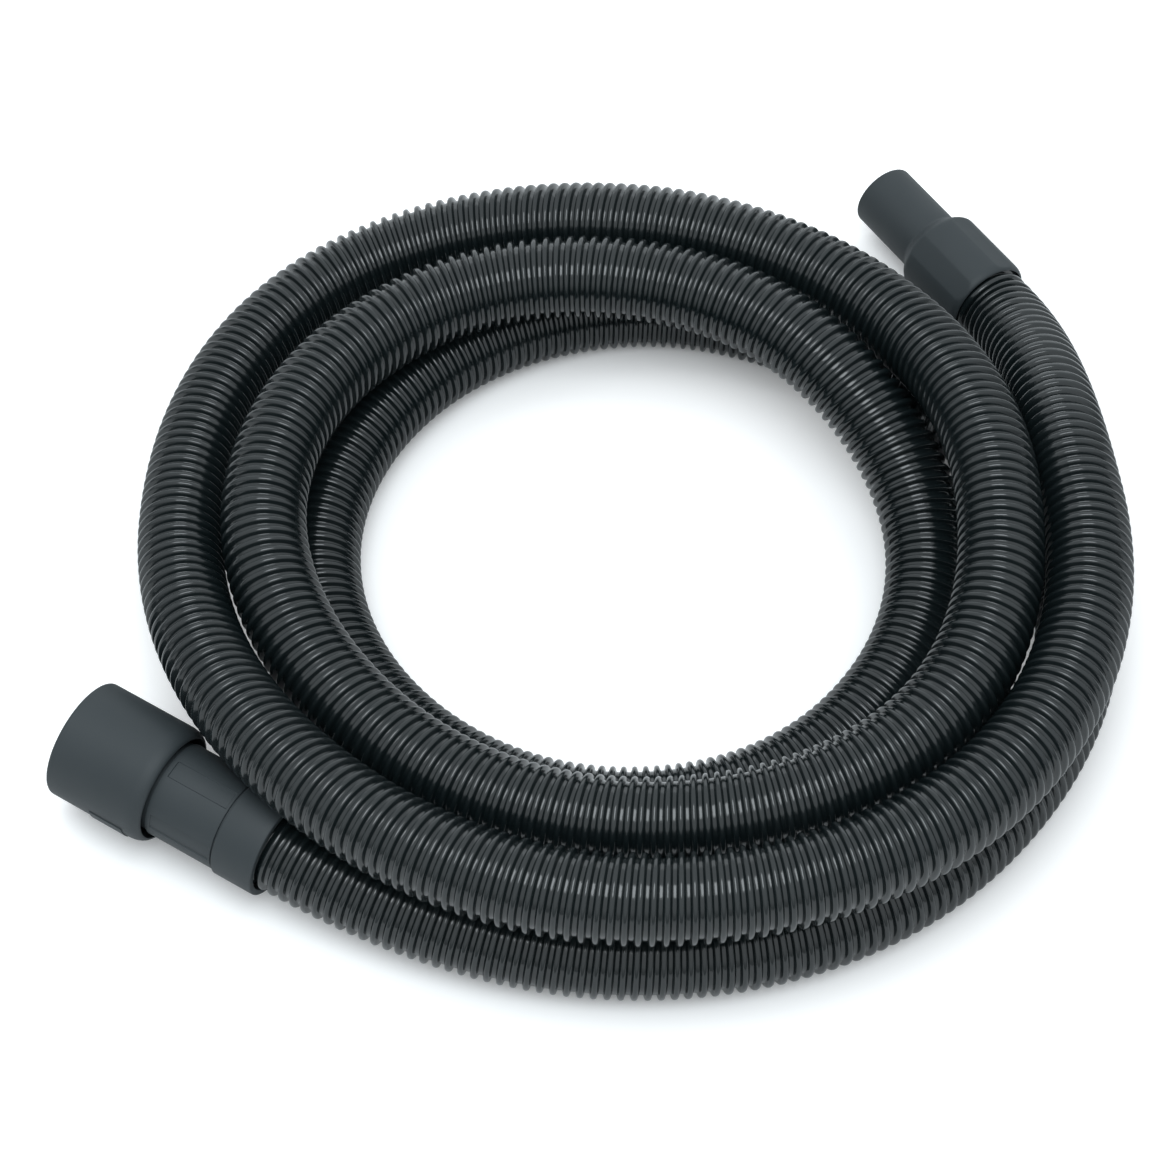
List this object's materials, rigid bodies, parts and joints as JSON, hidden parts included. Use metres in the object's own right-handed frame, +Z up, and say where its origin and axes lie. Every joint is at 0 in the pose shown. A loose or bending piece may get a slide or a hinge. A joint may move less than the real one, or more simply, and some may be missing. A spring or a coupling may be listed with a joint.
{
  "type": "vacuum hose",
  "caption": "Ribbed suction hose laid in loose loops, with a swivelling push-in connector on its machine end and a swivelling nozzle cuff on its tool end.",
  "frame": {"origin": "on the floor, under the middle of the whole lay's bounding box", "axes": "+Z up, away from the floor; +X along the longest side of the lay; the tool end lies at +X +Y and the machine end at -X -Y"},
  "size_m": [0.5641, 0.5457, 0.1093],
  "materials": {
    "hose_plastic": "semi-gloss ribbed black",
    "cuff_plastic": "matte charcoal, fine grain",
    "bush_plastic": "matte",
    "seal_rubber": "matte"
  },
  "bodies": {
    "hose": {"hose": "hose_plastic", "tool_bush": "bush_plastic", "machine_bush": "bush_plastic"},
    "tool_cuff": {"tool_cuff": "cuff_plastic", "tool_seal": "seal_rubber"},
    "machine_cuff": {"machine_cuff": "cuff_plastic", "machine_collar": "cuff_plastic", "machine_seal": "seal_rubber"},
    "adaptor_sleeve": {"adaptor_sleeve": "cuff_plastic"}
  },
  "joints": [
    {"name": "tool_swivel", "type": "hinge", "parent": "hose", "child": "tool_cuff", "pos_m": [0.2264, 0.1778, 0.0263], "axis": [-0.5592, 0.829, 0], "continuous": true},
    {"name": "machine_swivel", "type": "hinge", "parent": "hose", "child": "machine_cuff", "pos_m": [-0.1603, -0.1906, 0.02888], "axis": [-0.8604, 0.5068, 0.0523], "continuous": true},
    {"name": "sleeve_pull", "type": "slide", "parent": "machine_cuff", "child": "adaptor_sleeve", "axis": [-0.8604, 0.5068, 0.0523], "range_m": [0, 0.06]}
  ]
}
